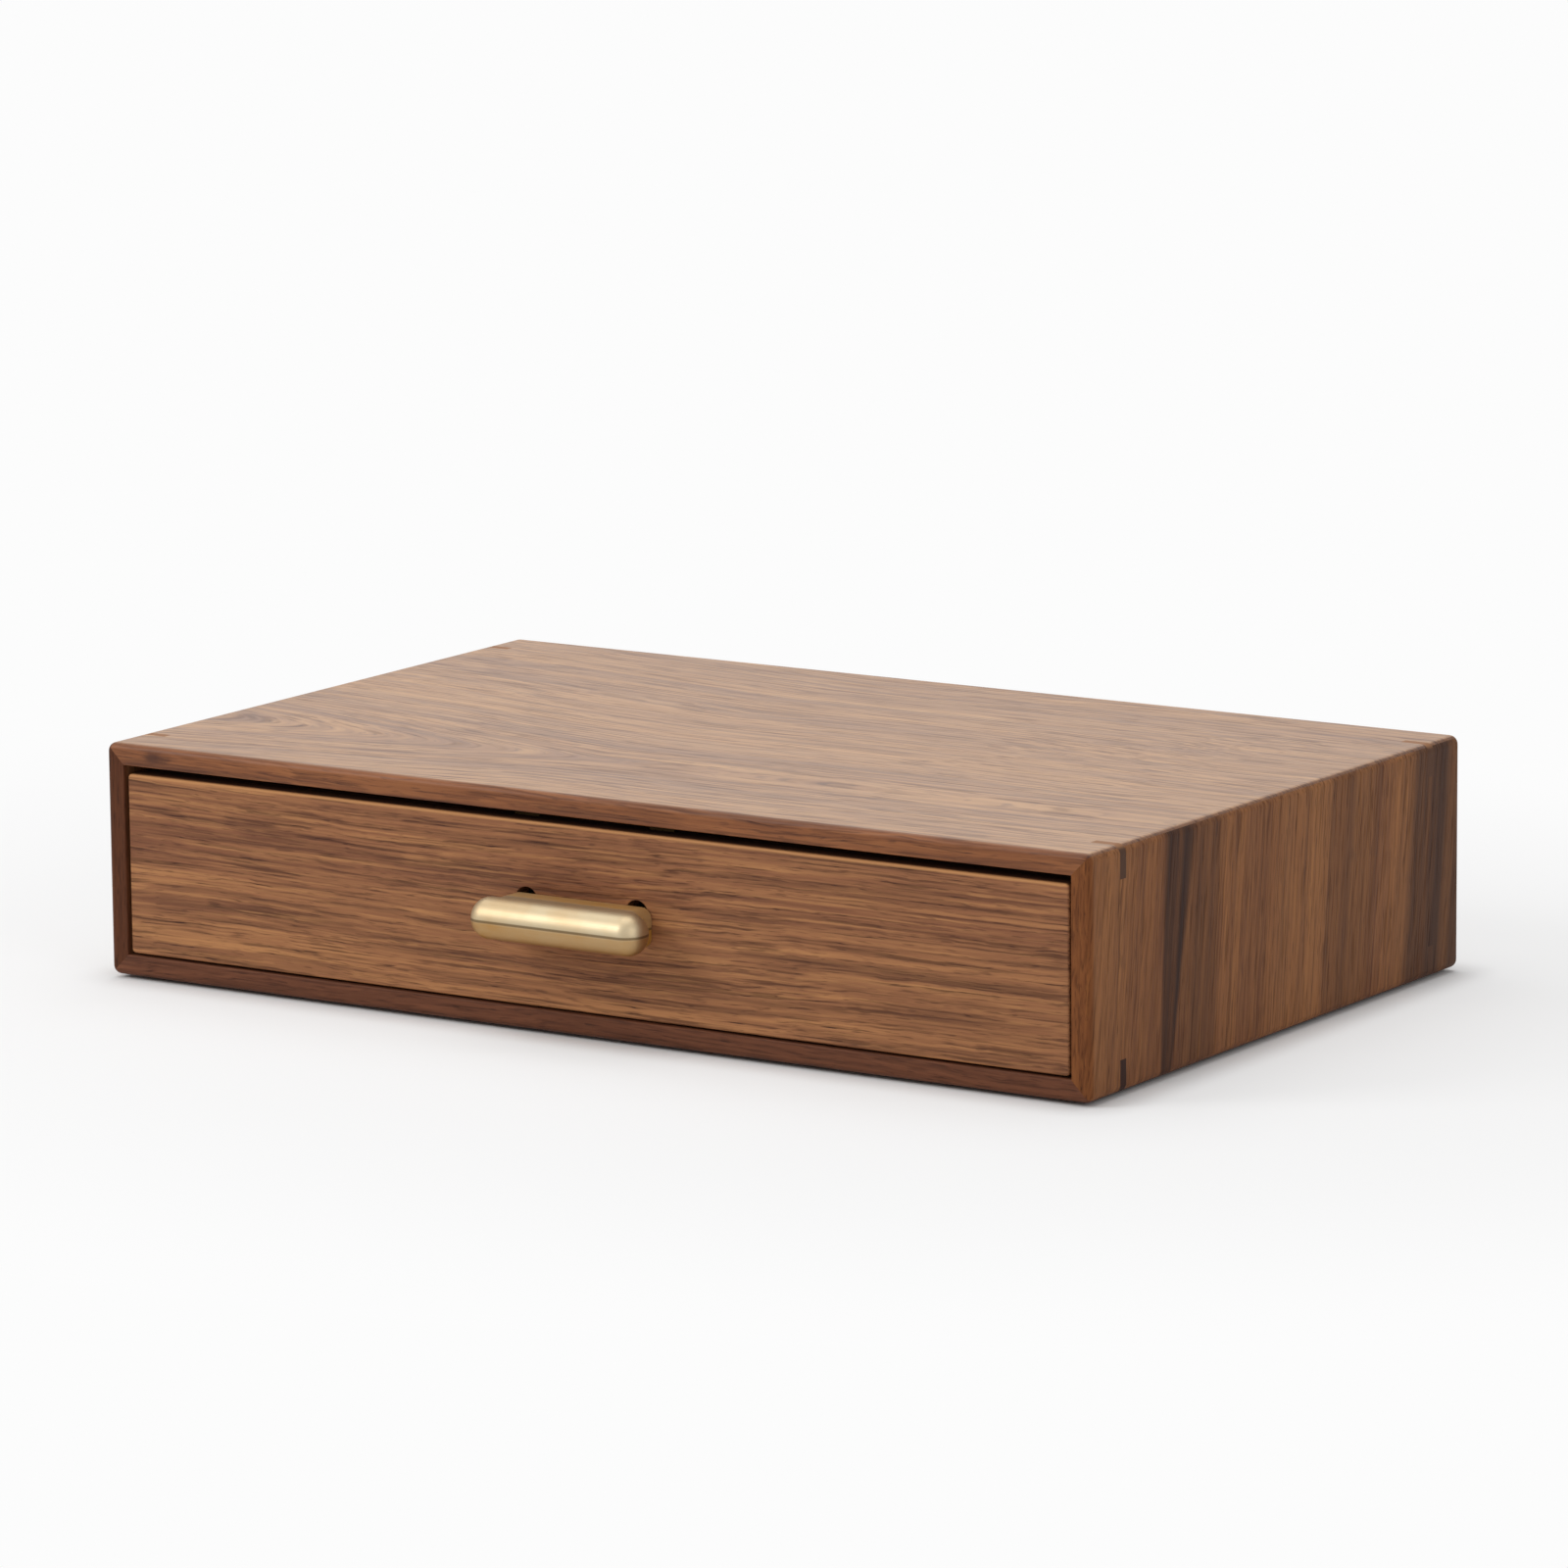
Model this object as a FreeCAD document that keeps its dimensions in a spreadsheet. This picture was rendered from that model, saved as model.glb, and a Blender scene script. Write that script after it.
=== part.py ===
import FreeCAD
import Part
import Sketcher
import math
import os
from types import SimpleNamespace

from FreeCAD import Rotation, Vector

# A walnut box with one drawer. The drawer's brass pull rides in two short slots: pushed down, as
# here, the drawer is free; lifted, it raises two tongues into the case and locks the drawer.
# Millimetres, +Z up, the front faces -Y, and the origin is the middle of the ground under the case.
SIZES = {
    "case_width": 320,
    "case_depth": 200,
    "case_height": 66,
    "board": 6,
    "corner_round": 2.5,
    "arris_round": 1.8,
    "mouth_round": 0.4,
    "back_board": 5,
    "rabbet_depth": 3,
    "key_leg": 9,
    "key_thickness": 3,
    "key_inset": 16.5,
    "foot_height": 1,
    "foot_inset": 5.5,
    "top_gap": 2.4,
    "side_gap": 0.9,
    "floor_gap": 0.6,
    "face_setback": 0.6,
    "face_thickness": 12,
    "face_round": 0.6,
    "face_corner": 1.2,
    "side_board": 6.5,
    "rear_board": 6.5,
    "rear_inset": 6,
    "dado_depth": 2.5,
    "base_board": 3,
    "base_rise": 3,
    "base_tongue": 3,
    "tail_length": 7,
    "tail_root": 11,
    "tail_flare": 1.1,
    "pull_rise": 25.6,
    "bar_diameter": 11.6,
    "bar_length": 55,
    "bar_round": 5.2,
    "stand_off": 10.5,
    "neck_height": 11,
    "neck_margin": 1.2,
    "neck_round": 3,
    "post_spacing": 36,
    "bush_diameter": 7,
    "slot_play": 0.2,
    "lift": 3.5,
    "rub_gap": 0.3,
    "plate_thickness": 2.5,
    "plate_height": 14,
    "plate_margin": 8,
    "tongue_width": 8,
    "tongue_stand": 0.6,
    "lining_board": 2.5,
    "lining_margin": 11,
    "magnet_diameter": 3,
    "magnet_height": 2,
    "bolt_diameter": 3,
    "bolt_head": 6,
    "bolt_bite": 6,
    "screw_diameter": 2,
    "screw_head": 3.8,
    "screw_length": 5,
    "base_screw_length": 10,
    "button_screw_length": 7.5,
    "overcut": 1,
    "strike_thickness": 1.2,
    "strike_width": 10,
    "strike_margin": 6,
    "strike_depth": 3.6,
    "stop_height": 3.8,
    "stop_width": 6,
    "stop_length": 60,
    "stop_offset": 3,
    "button_length": 24,
    "button_width": 8,
    "button_thickness": 3,
    "button_pivot": 6,
    "running_gap": 0.1,
    "clear_gap": 0.7,
    "glide_height": 0.5,
    "glide_width": 8,
    "block_depth": 4,
    "block_height": 20,
}

doc = FreeCAD.newDocument("drawer_box")
sheet = doc.addObject("Spreadsheet::Sheet", "Sizes")
for row, (alias, number) in enumerate(SIZES.items(), 1):
    sheet.set(f"A{row}", alias)
    sheet.set(f"B{row}", str(number))
    sheet.setAlias(f"B{row}", alias)
doc.recompute()


class Size:
    """A length: an expression on the sheet for features to be bound to, and its number here."""

    def __init__(self, text, number):
        self.text = str(text)
        self.number = float(number)

    def __str__(self):
        return self.text

    def __add__(self, other):
        return Size(f"({self} + {other})", self.number + now(other))

    def __radd__(self, other):
        return Size(f"({other} + {self})", now(other) + self.number)

    def __sub__(self, other):
        return Size(f"({self} - {other})", self.number - now(other))

    def __rsub__(self, other):
        return Size(f"({other} - {self})", now(other) - self.number)

    def __mul__(self, other):
        return Size(f"({self} * {other})", self.number * now(other))

    __rmul__ = __mul__

    def __truediv__(self, other):
        return Size(f"({self} / {other})", self.number / now(other))

    def __neg__(self):
        return Size(f"(-{self})", -self.number)


def now(size):
    """A plain number or a Size as millimetres."""
    return size.number if isinstance(size, Size) else float(size)


ZERO = Size("0", 0)
d = SimpleNamespace(**{alias: Size(f"Sizes.{alias}", number) for alias, number in SIZES.items()})
nodes = []

# Where things lie: the case, its mouth, and the drawer's face.
half_width = d.case_width / 2
front = -d.case_depth / 2
rear = d.case_depth / 2
low = d.foot_height
high = d.foot_height + d.case_height
mouth_side = half_width - d.board
mouth_floor = low + d.board
mouth_roof = high - d.board
face_side = mouth_side - d.side_gap
face_low = mouth_floor + d.floor_gap
face_high = mouth_roof - d.top_gap
face_front = front + d.face_setback
face_rear = face_front + d.face_thickness
inner_side = face_side - d.side_board
drawer_end = rear - d.back_board - d.block_depth - d.running_gap
back_rear = drawer_end - d.rear_inset
back_front = back_rear - d.rear_board
base_low = face_low + d.base_rise
base_high = base_low + d.base_board
pull_axis = face_low + d.pull_rise
post = d.post_spacing / 2

# The lock's layers, going back from the face: slots, plate pocket, lining.
lining_front = face_rear - d.lining_board
pocket_floor = lining_front - d.plate_thickness - 2 * d.rub_gap
plate_front = pocket_floor + d.rub_gap
plate_rear = plate_front + d.plate_thickness
plate_half = post + d.plate_margin
plate_low = pull_axis - d.plate_height / 2
plate_high = pull_axis + d.plate_height / 2
tongue_in = plate_half - d.tongue_width
tongue_top = face_high + d.tongue_stand
neck_rear = face_front - d.rub_gap
bar_axis = face_front - d.stand_off
lining_half = plate_half + d.lining_margin
lining_low = plate_low - d.rub_gap - d.lining_margin

# Where the screws under the drawer's back stand, as shares of half its width.
BASE_SCREWS = (-0.8, 0, 0.8)
AXES = {"+z": Rotation(), "+y": Rotation(Vector(1, 0, 0), -90), "-y": Rotation(Vector(1, 0, 0), 90)}


def bind(feature, **sizes):
    """Bind a feature's properties, or its place as x, y and z, to the sheet."""
    for name, size in sizes.items():
        path = f"Placement.Base.{name}" if name in ("x", "y", "z") else name
        feature.setExpression(path, str(size))


def draw(sketch, outline):
    """Add one closed outline: corners (u, v), or (u, v, radius) for an arc that ends there.

    A circle is the one entry ("circle", u, v, radius). Arcs bulge out of an outline that is
    given counter-clockwise.
    """
    if outline[0] == "circle":
        u, v, radius = outline[1:]
        shape = sketch.addGeometry(Part.Circle(Vector(now(u), now(v), 0), Vector(0, 0, 1), now(radius)))
        for kind, place, size in (("DistanceX", (shape, 3), u), ("DistanceY", (shape, 3), v),
                                  ("Radius", (shape,), radius)):
            rule = sketch.addConstraint(Sketcher.Constraint(kind, *place, now(size)))
            sketch.setExpression(f"Constraints[{rule}]", str(size))
        return
    points = [Vector(now(corner[0]), now(corner[1]), 0) for corner in outline]
    edges = []
    for index, start in enumerate(points):
        following = (index + 1) % len(points)
        end = points[following]
        if len(outline[following]) == 2:
            edges.append(sketch.addGeometry(Part.LineSegment(start, end)))
            continue
        radius = now(outline[following][2])
        chord = end - start
        rise = math.sqrt(max(radius ** 2 - (chord.Length / 2) ** 2, 0))
        centre = (start + end) * 0.5 + Vector(-chord.y, chord.x, 0).normalize() * rise
        angles = [math.atan2(p.y - centre.y, p.x - centre.x) for p in (start, end)]
        circle = Part.Circle(centre, Vector(0, 0, 1), radius)
        edges.append(sketch.addGeometry(Part.ArcOfCircle(circle, *angles)))
    for index, edge in enumerate(edges):
        following = (index + 1) % len(edges)
        sketch.addConstraint(Sketcher.Constraint("Coincident", edge, 2, edges[following], 1))
        for kind, size in zip(("DistanceX", "DistanceY"), outline[index]):
            rule = sketch.addConstraint(Sketcher.Constraint(kind, edge, 1, now(size)))
            sketch.setExpression(f"Constraints[{rule}]", str(size))
        if len(outline[following]) == 3:
            radius = outline[following][2]
            rule = sketch.addConstraint(Sketcher.Constraint("Radius", edge, now(radius)))
            sketch.setExpression(f"Constraints[{rule}]", str(radius))


def sketch_on(body, plane, start, outlines):
    """A sketch on one of the body's own planes, moved along that plane's axis to start."""
    sketch = body.newObject("Sketcher::SketchObject", f"{body.Name}_sketch")
    support = [o for o in body.Origin.OriginFeatures if o.Role == f"{plane}_Plane"][0]
    sketch.AttachmentSupport = [(support, "")]
    sketch.MapMode = "FlatFace"
    sketch.setExpression("AttachmentOffset.Base.z", str(-start if plane == "XZ" else start))
    for outline in outlines:
        draw(sketch, outline)
    sketch.Visibility = False
    return sketch


def pad(body, plane, start, length, *outlines):
    """Grow outlines along +X, +Z or, on the XZ plane, towards the front."""
    feature = body.newObject("PartDesign::Pad", f"{body.Name}_pad")
    feature.Profile = sketch_on(body, plane, start, outlines)
    bind(feature, Length=length)
    doc.recompute()
    return feature


def pocket(body, plane, start, length, *outlines):
    """Cut outlines along the way that pad grows them."""
    before = body.Shape.Volume
    feature = body.newObject("PartDesign::Pocket", f"{body.Name}_pocket")
    feature.Profile = sketch_on(body, plane, start, outlines)
    feature.Reversed = True
    bind(feature, Length=length)
    doc.recompute()
    if feature.Shape.Volume > before - 0.01:
        raise RuntimeError(f"{feature.Name} cuts nothing")
    return feature


def soften(body, radius, picks):
    """Round the edges of the body's tip for which picks(middle, edge) holds."""
    tip = body.Tip
    names = []
    for index, edge in enumerate(tip.Shape.Edges, 1):
        middle = edge.valueAt((edge.FirstParameter + edge.LastParameter) / 2)
        if picks(middle, edge):
            names.append(f"Edge{index}")
    feature = body.newObject("PartDesign::Fillet", f"{body.Name}_round")
    feature.Base = (tip, names)
    bind(feature, Radius=radius)
    doc.recompute()
    return feature


def new_body(label):
    """An empty body that becomes the sub-part of that name."""
    body = doc.addObject("PartDesign::Body", label)
    nodes.append(body)
    return body


def rectangle(u_low, u_high, v_low, v_high):
    """Four corners, counter-clockwise."""
    return [(u_low, v_low), (u_high, v_low), (u_high, v_high), (u_low, v_high)]


def upright_slot(u, v_low, v_high, radius):
    """An upright slot with round ends, between the centres of its ends."""
    return [(u - radius, v_low), (u, v_low - radius, radius), (u + radius, v_low, radius),
            (u + radius, v_high), (u, v_high + radius, radius), (u - radius, v_high, radius)]


def rounded(half, v_low, v_high, radius):
    """A rectangle with round corners, half to either side."""
    u = half - radius
    return [(-u, v_low, radius), (u, v_low), (half, v_low + radius, radius), (half, v_high - radius),
            (u, v_high, radius), (-u, v_high), (-half, v_high - radius, radius), (-half, v_low + radius)]


def block(label, x_low, x_high, y_low, y_high, z_low, z_high, node=True):
    """A plain rectangular piece."""
    box = doc.addObject("Part::Box", label)
    bind(box, Length=x_high - x_low, Width=y_high - y_low, Height=z_high - z_low,
         x=x_low, y=y_low, z=z_low)
    if node:
        nodes.append(box)
    return box


def rod(label, axis, x, y, z, radius, length):
    """A round bar that starts at x, y, z and runs along axis."""
    bar = doc.addObject("Part::Cylinder", label)
    bar.Placement.Rotation = AXES[axis]
    bind(bar, Radius=radius, Height=length, x=x, y=y, z=z)
    return bar


def screw(label, axis, x, y, z, shank, head, length):
    """A countersunk screw: its head's flat is at x, y, z and it points along axis."""
    cone = doc.addObject("Part::Cone", f"{label}_head")
    cone.Placement.Rotation = AXES[axis]
    bind(cone, Radius1=head / 2, Radius2=shank / 2, Height=(head - shank) / 2, x=x, y=y, z=z)
    joined = doc.addObject("Part::Fuse", label)
    joined.Base = cone
    joined.Tool = rod(f"{label}_shank", axis, x, y, z, shank / 2, length)
    return joined


def group(label, pieces, node=True):
    """Separate equal solids that share one sub-part."""
    compound = doc.addObject("Part::Compound", label)
    compound.Links = pieces
    if node:
        nodes.append(compound)
    return compound


def without(label, base, *tools):
    """The piece that is left of base when the tools are taken from it."""
    cut = base
    for index, tool in enumerate(tools, 1):
        last = index == len(tools)
        taken = doc.addObject("Part::Cut", label if last else f"{label}_step")
        taken.Base, taken.Tool = cut, tool
        cut = taken
    if base in nodes:
        nodes.remove(base)
    nodes.append(cut)
    return cut


def on_outline(middle):
    """True for a point that lies on the case's rounded outline, seen from the front."""
    radius = now(d.corner_round)
    across = abs(middle.x) - (now(half_width) - radius)
    up = abs(middle.z - (now(low) + now(high)) / 2) - (now(d.case_height) / 2 - radius)
    reach = math.hypot(max(across, 0), max(up, 0)) + min(max(across, up), 0) - radius
    return abs(reach) < 1e-4


def outer_arris(middle, edge):
    """The edges where the case's outside meets its front and its rear."""
    at_end = min(abs(middle.y - now(front)), abs(middle.y - now(rear))) < 1e-4
    return at_end and on_outline(middle)


def mouth_arris(middle, edge):
    """The straight edges around the front of the mouth."""
    inside = (abs(abs(middle.x) - now(mouth_side)) < 1e-4 or abs(middle.z - now(mouth_floor)) < 1e-4
              or abs(middle.z - now(mouth_roof)) < 1e-4)
    return abs(middle.y - now(front)) < 1e-4 and inside and not on_outline(middle)


def kerf(side, upper):
    """The saw cut across one mitred corner, drawn a little past the case's outside."""
    past = d.overcut
    corner_z = high + past if upper else low - past
    edge_z = high - d.key_leg - past if upper else low + d.key_leg + past
    return [(side * (half_width + past), corner_z), (side * (half_width - d.key_leg - past), corner_z),
            (side * (half_width + past), edge_z)]


def key_outline(side, upper):
    """A key's outline: a triangle whose outer corner follows the case's round."""
    r = d.corner_round
    z_out, z_arc, z_leg = (high, high - r, high - d.key_leg) if upper else (low, low + r, low + d.key_leg)
    outer, turned, leg = side * half_width, side * (half_width - r), side * (half_width - d.key_leg)
    path = [(leg, z_out), (outer, z_leg), (outer, z_arc), (turned, z_out)]
    if (side > 0) == upper:
        return [path[0], path[1], path[2], (*path[3], r)]
    return [path[0], path[3], (*path[2], r), path[1]]


key_starts = (front + d.key_inset + d.key_thickness / 2, rear - d.key_inset + d.key_thickness / 2)


def case_board(label, outline, rabbet, kerfs):
    """One mitred board of the case, with the rabbet for the back and the cuts for the keys."""
    body = new_body(label)
    pad(body, "XZ", rear, d.case_depth, outline)
    pocket(body, "XZ", rear, d.back_board, rabbet)
    soften(body, d.arris_round, outer_arris)
    soften(body, d.mouth_round, mouth_arris)
    for start in key_starts:
        pocket(body, "XZ", start, d.key_thickness, *kerfs)
    return body


def level_board(label, upper):
    """The top or the bottom of the case."""
    r = d.corner_round
    tip = r * (1 - math.sqrt(0.5))
    out, arc, inn, deep = ((high, high - tip, mouth_roof, mouth_roof + d.rabbet_depth) if upper
                           else (low, low + tip, mouth_floor, mouth_floor - d.rabbet_depth))
    if upper:
        outline = [(-mouth_side, inn), (mouth_side, inn), (half_width - tip, arc),
                   (half_width - r, out, r), (-half_width + r, out), (-half_width + tip, arc, r)]
    else:
        outline = [(mouth_side, inn), (-mouth_side, inn), (-half_width + tip, arc),
                   (-half_width + r, out, r), (half_width - r, out), (half_width - tip, arc, r)]
    rabbet = rectangle(-half_width, half_width, inn, deep)
    return case_board(label, outline, rabbet, [kerf(-1, upper), kerf(1, upper)])


def end_board(label, side):
    """The left or the right side of the case."""
    r = d.corner_round
    tip = r * (1 - math.sqrt(0.5))
    x_out, x_arc, x_in = side * half_width, side * (half_width - tip), side * mouth_side
    if side > 0:
        outline = [(x_in, mouth_roof), (x_in, mouth_floor), (x_arc, low + tip),
                   (x_out, low + r, r), (x_out, high - r), (x_arc, high - tip, r)]
    else:
        outline = [(x_in, mouth_floor), (x_in, mouth_roof), (x_arc, high - tip),
                   (x_out, high - r, r), (x_out, low + r), (x_arc, low + tip, r)]
    rabbet = rectangle(x_in, side * (mouth_side + d.rabbet_depth), low, high)
    return case_board(label, outline, rabbet, [kerf(side, False), kerf(side, True)])


def make_case():
    """The mitred case with its keys, back, feet, glides, kickers, stops and strike."""
    top = level_board("case_top", True)
    level_board("case_bottom", False)
    end_board("case_left_side", -1)
    end_board("case_right_side", 1)
    for name, side, upper in (("top_left_keys", -1, True), ("top_right_keys", 1, True),
                              ("bottom_left_keys", -1, False), ("bottom_right_keys", 1, False)):
        keys = []
        for start in key_starts:
            key = doc.addObject("PartDesign::Body", f"{name}_one")
            pad(key, "XZ", start, d.key_thickness, key_outline(side, upper))
            keys.append(key)
        group(name, keys)
    reach = d.rabbet_depth
    block("case_back", -mouth_side - reach, mouth_side + reach, rear - d.back_board, rear,
          mouth_floor - reach, mouth_roof + reach)
    foot_end = half_width - d.foot_inset
    block("base_pad", -foot_end, foot_end, front + d.foot_inset, rear - d.foot_inset, ZERO, low)

    inside_rear = rear - d.back_board
    kicker_low = face_high + d.clear_gap
    for name, side in (("left", -1), ("right", 1)):
        x_low = -mouth_side if side < 0 else mouth_side - d.glide_width
        block(f"{name}_glide", x_low, x_low + d.glide_width, face_rear, inside_rear - d.block_depth,
              mouth_floor, mouth_floor + d.glide_height)
        block(f"{name}_kicker", x_low, x_low + d.glide_width, face_rear, inside_rear,
              kicker_low, mouth_roof)
        block(f"{name}_rear_stop", x_low, x_low + d.glide_width, inside_rear - d.block_depth, inside_rear,
              mouth_floor, mouth_floor + d.block_height)

    stop_front = face_rear + d.stop_offset
    block("stop_strip", -d.stop_length / 2, d.stop_length / 2, stop_front, stop_front + d.stop_width,
          mouth_roof - d.stop_height, mouth_roof)

    strike_half = plate_half + d.strike_margin
    strike_front = (plate_front + plate_rear) / 2 - d.strike_width / 2
    plate = block("strike_blank", -strike_half, strike_half, strike_front, strike_front + d.strike_width,
                  mouth_roof, mouth_roof + d.strike_thickness, node=False)
    mortises = []
    for side in (-1, 1):
        middle = side * (tongue_in + plate_half) / 2
        half = d.tongue_width / 2 + 2 * d.rub_gap
        mortises.append(block("mortise", middle - half, middle + half, plate_front - d.rub_gap,
                              plate_rear + d.rub_gap, mouth_roof, mouth_roof + d.strike_depth, node=False))
    screws = [screw(f"strike_screw_{index}", "+z", side * tongue_in / 2, (plate_front + plate_rear) / 2,
                    mouth_roof, d.screw_diameter, d.screw_head, d.screw_length)
              for index, side in enumerate((-1, 1))]
    fixings = group("strike_screws", screws)
    openings = group("mortises", mortises, node=False)
    top.Label = "top_blank"
    without("case_top", top, plate, openings, fixings).Label = "case_top"
    without("strike_plate", plate, openings, fixings)


def tails():
    """The corners of a drawer side's lower and upper dovetail, from the front's rear face forward."""
    tip = face_rear - d.tail_length
    root, wide = d.tail_root / 2, d.tail_root / 2 + d.tail_flare
    quarter = (face_high - face_low) / 4
    return [[(face_rear, middle + root), (tip, middle + wide), (tip, middle - wide),
             (face_rear, middle - root)] for middle in (face_low + quarter, face_high - quarter)]


def make_drawer():
    """The drawer's front, sides, back and bottom."""
    face = new_body("drawer_front")
    pad(face, "XZ", face_rear, d.face_thickness, rectangle(-face_side, face_side, face_low, face_high))
    soften(face, d.face_corner, lambda middle, edge: abs(edge.tangentAt(edge.FirstParameter).y) > 0.99)
    soften(face, d.face_round, lambda middle, edge: abs(middle.y - now(face_front)) < 1e-4)
    past = face_high + d.overcut
    pocket(face, "XZ", face_rear, d.lining_board,
           rectangle(-lining_half, lining_half, lining_low, past))
    side, floor, roof = plate_half + d.rub_gap, plate_low - d.rub_gap, plate_high + d.lift + d.rub_gap
    channel = tongue_in - d.rub_gap
    pocket(face, "XZ", lining_front, lining_front - pocket_floor,
           [(-side, floor), (side, floor), (side, past), (channel, past), (channel, roof),
            (-channel, roof), (-channel, past), (-side, past)])
    radius = d.bush_diameter / 2 + d.slot_play
    pocket(face, "XZ", pocket_floor, pocket_floor - face_front + d.overcut,
           *[upright_slot(x, pull_axis, pull_axis + d.lift, radius) for x in (-post, post)])
    pocket(face, "XZ", pocket_floor, d.magnet_height,
           *[("circle", ZERO, pull_axis + rise, d.magnet_diameter / 2) for rise in (0, d.lift)])
    pocket(face, "XZ", face_rear, d.base_tongue,
           rectangle(-inner_side - d.base_tongue, inner_side + d.base_tongue, base_low, base_high))
    socket = d.side_board + d.overcut
    pocket(face, "YZ", -face_side - d.overcut, socket, *tails())
    pocket(face, "YZ", inner_side, socket, *tails())

    for name, hand in (("drawer_left_side", -1), ("drawer_right_side", 1)):
        board = new_body(name)
        lower, upper = tails()
        outline = [(drawer_end, face_low), (drawer_end, face_high), (face_rear, face_high),
                   *upper, *lower, (face_rear, face_low)]
        pad(board, "YZ", inner_side if hand > 0 else -face_side, d.side_board, outline)
        reach = hand * inner_side
        pocket(board, "XZ", drawer_end, drawer_end - face_rear,
               rectangle(reach, hand * (inner_side + d.base_tongue), base_low, base_high))
        pocket(board, "XY", base_high, face_high - base_high,
               rectangle(reach, hand * (inner_side + d.dado_depth), back_front, back_rear))

    back_high = mouth_roof - d.stop_height - d.clear_gap
    back_half = inner_side + d.dado_depth
    back = block("back_blank", -back_half, back_half, back_front, back_rear,
                 base_high, back_high, node=False)
    base_half = inner_side + d.base_tongue
    base = block("base_blank", -base_half, base_half, face_rear - d.base_tongue, back_rear,
                 base_low, base_high, node=False)
    under = [screw(f"base_screw_{index}", "+z", face_side * share, (back_front + back_rear) / 2, base_low,
                   d.screw_diameter, d.screw_head, d.base_screw_length)
             for index, share in enumerate(BASE_SCREWS)]
    base_screws = group("base_screws", under)

    tip = mouth_roof - d.clear_gap
    pivot = tip - d.button_length + d.button_pivot
    button_front = back_front - d.running_gap - d.button_thickness
    pin = screw("stop_button_screw", "+y", ZERO, button_front, pivot, d.bolt_diameter, d.bolt_head,
                d.button_screw_length)
    nodes.append(pin)
    seat = screw("button_seat", "+y", ZERO, button_front, pivot, d.bolt_diameter + 2 * d.running_gap,
                 d.bolt_head + 2 * d.running_gap, d.button_screw_length)
    without("drawer_back", back, base_screws, pin)
    without("drawer_bottom", base, base_screws)
    button = new_body("stop_button")
    half = d.button_width / 2
    pad(button, "XZ", back_front - d.running_gap, d.button_thickness,
        rectangle(-half, half, pivot - d.button_pivot, tip))
    soften(button, d.corner_round, lambda middle, edge: abs(edge.tangentAt(edge.FirstParameter).y) > 0.99)
    button.Label = "button_blank"
    without("stop_button", button, seat).Label = "stop_button"


def make_lock():
    """The pull, its bushes and screws, the tongued plate, the magnets and the lining."""
    bar = new_body("pull_bar")
    radius = d.bar_diameter / 2
    pad(bar, "YZ", -d.bar_length / 2, d.bar_length, ("circle", bar_axis, pull_axis, radius))
    soften(bar, d.bar_round, lambda middle, edge: abs(abs(middle.x) - now(d.bar_length) / 2) < 1e-4)
    rise = d.neck_height / 2
    reach = post + d.bush_diameter / 2 + d.slot_play + d.neck_margin
    pad(bar, "XZ", neck_rear, neck_rear - bar_axis,
        rounded(reach, pull_axis - rise, pull_axis + rise, d.neck_round))
    length = plate_rear - neck_rear + d.bolt_bite
    bolts = [screw(f"pull_screw_{index}", "-y", x, plate_rear, pull_axis, d.bolt_diameter, d.bolt_head,
                   length) for index, x in enumerate((-post, post))]
    pull_screws = group("pull_screws", bolts)
    bar.Label = "bar_blank"
    without("pull_bar", bar, pull_screws).Label = "pull_bar"
    tubes = [rod(f"bush_{index}", "-y", x, plate_front, pull_axis, d.bush_diameter / 2,
                 plate_front - neck_rear) for index, x in enumerate((-post, post))]
    without("pull_bushes", group("bush_blanks", tubes, node=False), pull_screws)

    plate = new_body("lock_plate")
    pad(plate, "XZ", plate_rear, d.plate_thickness,
        [(-plate_half, plate_low), (plate_half, plate_low), (plate_half, tongue_top),
         (tongue_in, tongue_top), (tongue_in, plate_high), (-tongue_in, plate_high),
         (-tongue_in, tongue_top), (-plate_half, tongue_top)])
    magnet_radius = d.magnet_diameter / 2
    held = rod("plate_magnet", "-y", ZERO, plate_front + d.magnet_height, pull_axis, magnet_radius,
               d.magnet_height)
    nodes.append(held)
    plate.Label = "plate_blank"
    without("lock_plate", plate, pull_screws, held).Label = "lock_plate"
    group("hold_magnets", [rod(f"hold_magnet_{index}", "-y", ZERO, pocket_floor, pull_axis + rise,
                               magnet_radius, d.magnet_height) for index, rise in enumerate((0, d.lift))])

    lining = block("lining_blank", -lining_half, lining_half, lining_front, face_rear,
                   lining_low, face_high, node=False)
    edge = d.lining_margin / 2
    places = [(x, z) for x in (-lining_half + edge, lining_half - edge)
              for z in (lining_low + edge, face_high - edge)]
    fixings = group("lining_screws", [
        screw(f"lining_screw_{index}", "-y", x, face_rear, z, d.screw_diameter, d.screw_head,
              d.screw_length) for index, (x, z) in enumerate(places)])
    without("front_lining", lining, fixings)
    face = [piece for piece in nodes if piece.Label == "drawer_front"][0]
    face.Label = "face_blank"
    without("drawer_front", face, fixings).Label = "drawer_front"


def check():
    """Stop if any object failed or any sub-part has no sound solid."""
    doc.recompute()
    for item in doc.Objects:
        if "Invalid" in item.State or "Error" in item.State:
            raise RuntimeError(f"{item.Label} did not recompute")
    for piece in nodes:
        if piece.Shape.isNull() or not piece.Shape.isValid() or not piece.Shape.Solids:
            raise RuntimeError(f"{piece.Label} has no sound solid")


make_case()
make_drawer()
make_lock()
check()
os.makedirs("parts", exist_ok=True)
for piece in nodes:
    piece.Shape.exportStep(f"parts/{piece.Label}.step")
    print(f"{piece.Label}: {len(piece.Shape.Solids)} solid, {piece.Shape.Volume:.1f} mm3")
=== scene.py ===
"""Looks of a walnut box with one drawer and a brass pull that locks it."""

import logging
import math
from dataclasses import dataclass
from enum import Enum
from typing import Any, ClassVar, Iterable, Sequence

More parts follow.
